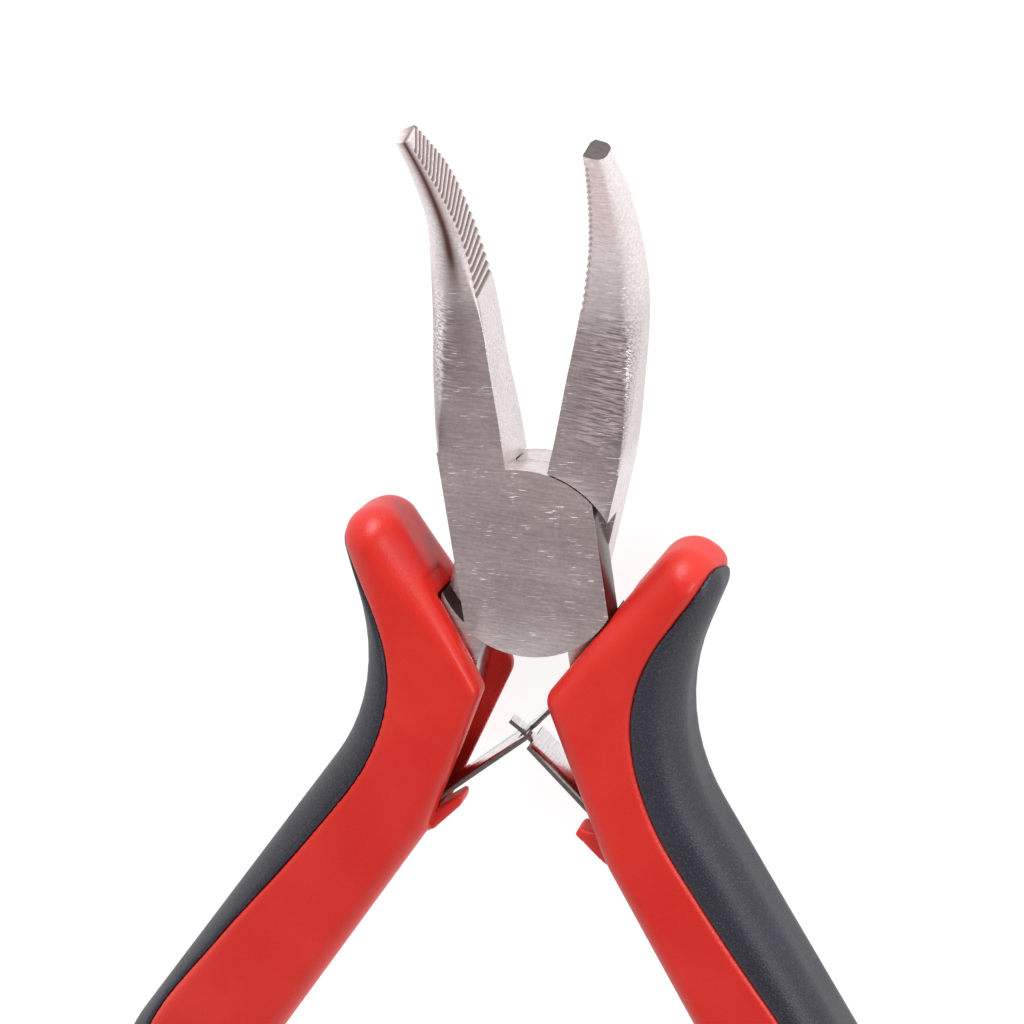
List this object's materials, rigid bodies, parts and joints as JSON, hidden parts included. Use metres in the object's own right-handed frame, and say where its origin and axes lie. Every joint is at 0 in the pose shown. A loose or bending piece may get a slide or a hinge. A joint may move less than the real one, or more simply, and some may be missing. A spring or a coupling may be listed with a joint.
{
  "type": "needle nose pliers",
  "caption": "Small bent-nose pliers with serrated upturned jaws, flush lap joint, crossed leaf springs and two-colour cushioned grips; they open by themselves.",
  "frame": {"origin": "on the pivot axis, at the joint's rear face, which is the flush rear end of the pivot rivet", "axes": "+Z along the pivot axis towards the front face and the upturned tips, +Y towards the jaws, +X to the right seen from the front; stored open, as the springs hold it"},
  "size_m": [0.1, 0.1292, 0.0207],
  "materials": {
    "steel": "ground and brushed, bare",
    "spring_steel": "polished strip",
    "shell": "red, fine grain, satin",
    "inlay": "black soft-touch, fine grain"
  },
  "bodies": {
    "front_half": {"front_half": "steel", "pivot_rivet": "steel", "right_grip_shell": "shell", "right_grip_inlay": "inlay", "right_spring_pin": "spring_steel"},
    "rear_half": {"rear_half": "steel", "left_grip_shell": "shell", "left_grip_inlay": "inlay", "left_spring_pin": "spring_steel"},
    "right_leaf": {"right_leaf_spring": "spring_steel"},
    "left_leaf": {"left_leaf_spring": "spring_steel"}
  },
  "joints": [
    {"name": "pivot", "type": "hinge", "parent": "front_half", "child": "rear_half", "pos_m": [0, 0, 0.0035], "axis": [0, 0, 1], "range_deg": [0, 20.5], "stiffness_Nm_per_rad": 0.8, "springref_deg": -8.59},
    {"name": "right_leaf_flex", "type": "hinge", "parent": "front_half", "child": "right_leaf", "pos_m": [0.0104, -0.0294, 0.0035], "axis": [0, 0, 1], "range_deg": [-16.6, 0]},
    {"name": "left_leaf_flex", "type": "hinge", "parent": "rear_half", "child": "left_leaf", "pos_m": [-0.0104, -0.0294, 0.0035], "axis": [0, 0, 1], "range_deg": [0, 16.6]}
  ],
  "couplings": [
    {"joint": "right_leaf_flex", "follows": "pivot", "ratio": -0.8},
    {"joint": "left_leaf_flex", "follows": "pivot", "ratio": 0.8}
  ]
}
